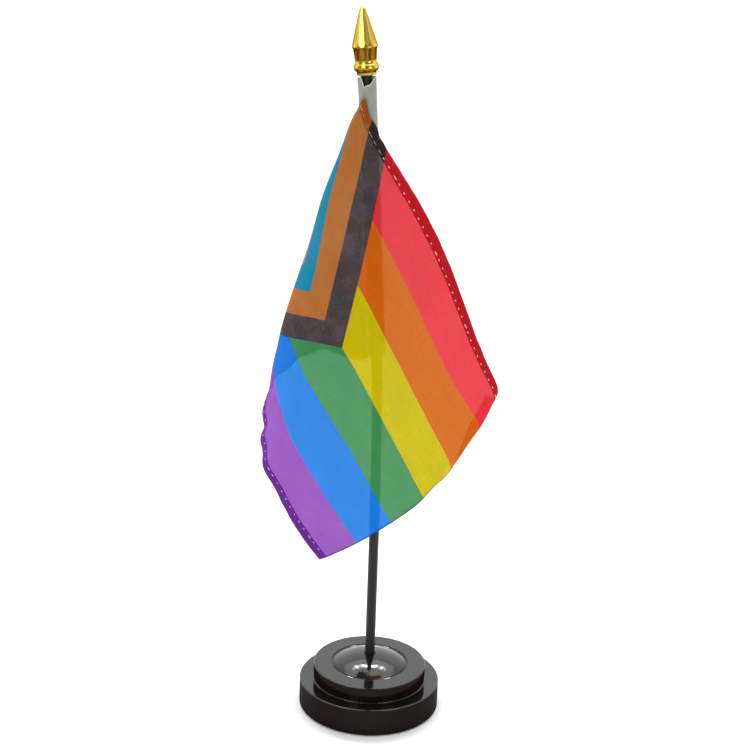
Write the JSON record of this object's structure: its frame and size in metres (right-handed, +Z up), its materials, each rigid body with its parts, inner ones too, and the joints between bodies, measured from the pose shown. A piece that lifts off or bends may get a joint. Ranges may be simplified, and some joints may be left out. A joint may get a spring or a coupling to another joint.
{
  "type": "desk flag stand",
  "caption": "Small striped flag with a chevron on a slim bowed staff with a spear finial, standing in a round two-tier domed base.",
  "frame": {"origin": "centre of the underside of the base, on the surface it stands on", "axes": "+Z up along the socket's axis; -Y towards the viewer; -X the side the staff bows to"},
  "size_m": [0.092, 0.0766, 0.2831],
  "materials": {
    "black_gloss": "black, high gloss, moulded",
    "foam_pad": "black self-adhesive foam",
    "zinc_steel": "zinc-plated disc, hidden",
    "black_staff": "black, satin",
    "gold_plating": "bright gold plating over moulded plastic",
    "sleeve_cloth": "white thin woven polyester, doubled",
    "flag_cloth": "thin woven polyester, printed stripes and chevrons in the visual model",
    "top_hem_cloth": "doubled red cloth",
    "bottom_hem_cloth": "doubled purple cloth",
    "white_thread": "white sewing thread"
  },
  "bodies": {
    "base": {"base_shell": "black_gloss", "base_pad": "foam_pad", "ballast_disc": "zinc_steel"},
    "staff": {"staff": "black_staff"},
    "finial": {"finial": "gold_plating"},
    "flag": {"hoist_sleeve": "sleeve_cloth", "flag_cloth": "flag_cloth", "top_hem": "top_hem_cloth", "bottom_hem": "bottom_hem_cloth", "top_hem_thread": "white_thread", "bottom_hem_thread": "white_thread", "sleeve_thread": "white_thread"}
  },
  "joints": [
    {"name": "staff_lift", "type": "slide", "parent": "base", "child": "staff", "axis": [0, 0, 1], "range_m": [0, 0.03]},
    {"name": "finial_pull", "type": "slide", "parent": "staff", "child": "finial", "axis": [-0.0963, 0, 0.9954], "range_m": [0, 0.02]},
    {"name": "flag_swing", "type": "hinge", "parent": "staff", "child": "flag", "pos_m": [-0.00103, 0, 0.152], "axis": [-0.067, 0, 0.9977], "continuous": true}
  ]
}
